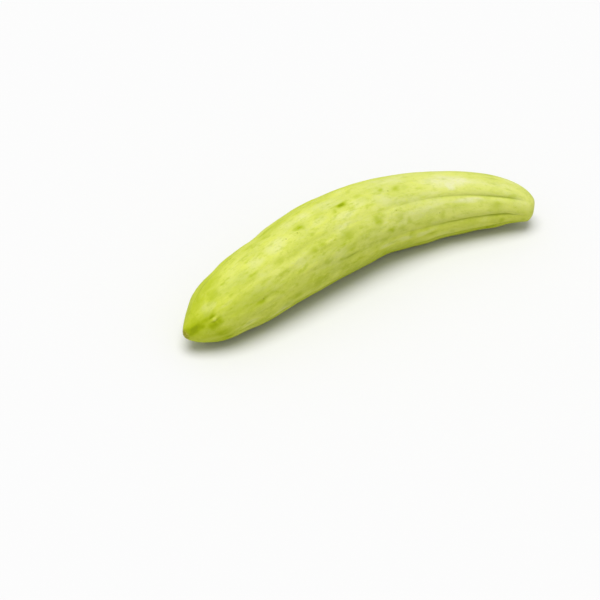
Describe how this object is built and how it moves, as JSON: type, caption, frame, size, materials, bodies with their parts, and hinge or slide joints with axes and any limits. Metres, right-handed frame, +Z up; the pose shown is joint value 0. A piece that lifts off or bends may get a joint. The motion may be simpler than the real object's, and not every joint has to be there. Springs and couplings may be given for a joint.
{
  "type": "armenian cucumber",
  "caption": "Whole Armenian cucumber lying on its side: long, pale green, ribbed lengthwise, curved, tapered at the stem end and blunt at the blossom end.",
  "frame": {"origin": "on the surface that the fruit lies on, under the middle of its box", "axes": "+Z up; the stem end is towards -X and the blossom end towards +X; the fruit bows towards +Y"},
  "size_m": [0.3133, 0.0842, 0.0622],
  "materials": {
    "skin": "thin satin fruit skin, pale yellow-green with darker green mottle and groove bottoms, and a saturated green stem end"
  },
  "bodies": {
    "root": {"fruit": "skin"}
  },
  "joints": []
}
